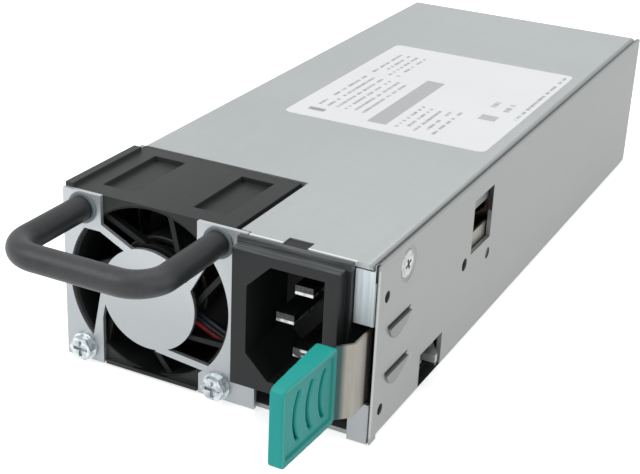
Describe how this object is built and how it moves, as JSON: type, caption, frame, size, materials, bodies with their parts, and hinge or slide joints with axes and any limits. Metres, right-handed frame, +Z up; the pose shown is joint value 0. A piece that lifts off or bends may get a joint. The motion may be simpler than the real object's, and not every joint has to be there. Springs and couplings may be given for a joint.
{
  "type": "hot swap server power supply",
  "caption": "Slim sheet steel server power supply with a front fan and guard, mains inlet, wire carrying handle, sprung side latch and rear card edge.",
  "frame": {"origin": "middle of the case's bottom face, half way along and across the steel case", "axes": "+X to the right seen from the handle end, +Y toward the card edge at the rear, +Z up"},
  "size_m": [0.0749, 0.2234, 0.0404],
  "materials": {
    "black_moulding": "fine matt moulded skin",
    "black_pvc": "soft insulation",
    "blue_pvc": "soft insulation",
    "board_green": "solder mask",
    "bright_steel": "ground and polished",
    "brown_pvc": "soft insulation",
    "ceramic_white": "ceramic tube",
    "collar_moulding": "pale blue-grey moulding",
    "contact_metal": "nickel plated",
    "copper": "enamelled wire",
    "core_steel": "laminated sheets",
    "disc_blue": "dipped coat",
    "fan_moulding": "satin moulded skin",
    "ferrite": "matt grey ferrite",
    "film_yellow": "taped film",
    "gold_plate": "gold flash",
    "green_pvc": "soft insulation",
    "handle_vinyl": "smooth vinyl sleeve",
    "heatsink_metal": "extruded, plain",
    "insulator_film": "fish paper",
    "label_film": "satin polyester film",
    "panel_steel": "zinc plated sheet, brighter",
    "red_pvc": "soft insulation",
    "screw_steel": "bright zinc plated",
    "sleeve_dark": "shrunk sleeve over a can",
    "spring_steel": "fine brushed strip",
    "teal_moulding": "satin moulded skin",
    "terminal_green": "moulded terminal",
    "transistor_black": "moulded package",
    "white_nylon": "natural nylon",
    "zinc_steel": "zinc plated sheet, fine satin"
  },
  "bodies": {
    "case": {"chassis_tray": "zinc_steel", "top_cover": "zinc_steel", "cover_screws": "screw_steel", "front_panel": "panel_steel", "rating_label": "label_film", "fan_frame": "fan_moulding", "fan_bearings": "bright_steel", "fan_stator": "core_steel", "fan_coils": "copper", "fan_circuit_ring": "board_green", "fan_screws": "screw_steel", "fan_lead_red": "red_pvc", "fan_lead_black": "black_pvc", "fan_lead_blue": "blue_pvc", "fan_header": "white_nylon", "handle_core": "bright_steel", "handle_sleeve": "handle_vinyl", "handle_collars": "collar_moulding", "handle_screws": "screw_steel", "inlet_housing": "black_moulding", "inlet_blades": "contact_metal", "mains_lead_live": "brown_pvc", "mains_lead_neutral": "blue_pvc", "mains_lead_earth": "green_pvc", "terminal_block": "terminal_green", "latch_rivet": "bright_steel", "main_board": "board_green", "board_standoffs": "screw_steel", "board_screws": "screw_steel", "insulator_sheet": "insulator_film", "edge_contacts": "gold_plate", "common_mode_choke": "copper", "x_capacitor": "film_yellow", "fuse": "ceramic_white", "y_capacitors": "disc_blue", "bridge_rectifier": "transistor_black", "rectifier_heatsink": "heatsink_metal", "bulk_capacitor": "sleeve_dark", "boost_choke": "copper", "primary_heatsink": "heatsink_metal", "primary_transistors": "transistor_black", "secondary_heatsink": "heatsink_metal", "secondary_transistors": "transistor_black", "transformer_core": "ferrite", "transformer_winding": "film_yellow", "output_inductor": "ferrite", "output_capacitors": "sleeve_dark", "control_board": "board_green", "control_chips": "transistor_black"},
    "rotor": {"fan_rotor": "fan_moulding", "fan_shaft": "bright_steel", "fan_magnet": "ferrite"},
    "latch": {"latch_strip": "spring_steel", "latch_grip": "teal_moulding"}
  },
  "joints": [
    {"name": "fan_spin", "type": "hinge", "parent": "case", "child": "rotor", "pos_m": [-0.01575, -0.0795, 0.01975], "axis": [0, 1, 0], "continuous": true},
    {"name": "latch_press", "type": "hinge", "parent": "case", "child": "latch", "pos_m": [0.03515, -0.0305, 0.0176], "axis": [0, 0, -1], "range_deg": [0, 2.7], "stiffness_Nm_per_rad": 3}
  ]
}
